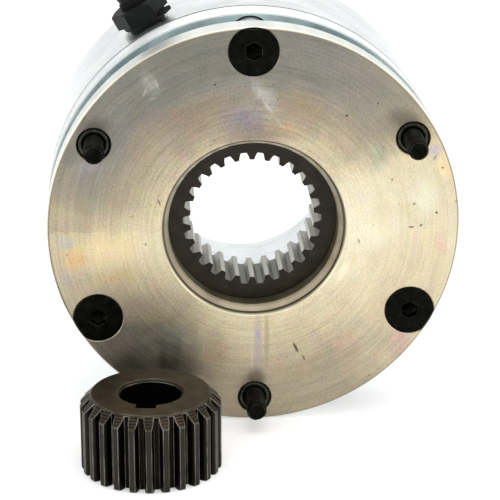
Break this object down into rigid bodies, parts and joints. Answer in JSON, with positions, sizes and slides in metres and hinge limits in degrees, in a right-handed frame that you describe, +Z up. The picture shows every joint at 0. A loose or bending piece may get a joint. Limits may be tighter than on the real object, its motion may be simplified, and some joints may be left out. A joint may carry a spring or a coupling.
{
  "type": "spring-applied motor brake",
  "caption": "Spring-applied electromagnetic motor brake with friction flange, splined rotor, cable gland, lead and loose splined hub.",
  "frame": {"origin": "Centre of the mounting screws' circle in the flange's front face, on the rotor's axis.", "axes": "+Y runs along the rotor's axis from the flange's face into the magnet housing, +Z is up with the brake standing on its rim, and +X is to the right when the flange is looked at."},
  "size_m": [0.205, 0.1061, 0.1144],
  "materials": {
    "zinc_plated_steel": "zinc plated over turned steel, slightly iridescent",
    "nitrided_steel": "ground steel plate, blue-grey",
    "phosphated_steel": "black phosphated steel with worn edges",
    "black_oxide_steel": "black oxide on alloy steel",
    "friction_lining": "pressed friction compound",
    "bobbin_plastic": "moulded nylon",
    "copper_wire": "enamelled copper winding",
    "potting_resin": "cast resin",
    "spring_steel": "oiled spring wire",
    "gland_plastic": "black moulded nylon, fine grain",
    "grommet_rubber": "black rubber",
    "cable_sheath": "smooth black sheath",
    "core_insulation": "thin insulation",
    "tinned_copper": "tinned crimp ferrules"
  },
  "bodies": {
    "brake": {"friction_flange": "zinc_plated_steel", "countersunk_screws": "black_oxide_steel", "spacer_sleeves": "zinc_plated_steel", "magnet_housing": "zinc_plated_steel", "coil_bobbin": "bobbin_plastic", "coil_winding": "copper_wire", "coil_potting": "potting_resin", "pressure_springs": "spring_steel", "adjusting_sleeves": "black_oxide_steel", "mounting_screws": "black_oxide_steel", "gland_body": "gland_plastic", "gland_nut": "gland_plastic", "gland_grommet": "grommet_rubber", "cable": "cable_sheath", "cable_coil": "cable_sheath", "cable_cores": "core_insulation", "core_ferrules": "tinned_copper", "splined_hub": "phosphated_steel"},
    "rotor": {"rotor_carrier": "phosphated_steel", "front_lining": "friction_lining", "rear_lining": "friction_lining"},
    "armature": {"armature_plate": "nitrided_steel"}
  },
  "joints": [
    {"name": "rotor_spin", "type": "hinge", "parent": "brake", "child": "rotor", "pos_m": [0, 0.0075, 0], "axis": [0, 1, 0], "continuous": true},
    {"name": "armature_release", "type": "slide", "parent": "brake", "child": "armature", "axis": [0, 1, 0], "range_m": [0, 0.0002], "stiffness_N_per_m": 3000, "springref_m": -0.005, "deforming": ["pressure_springs"]}
  ]
}
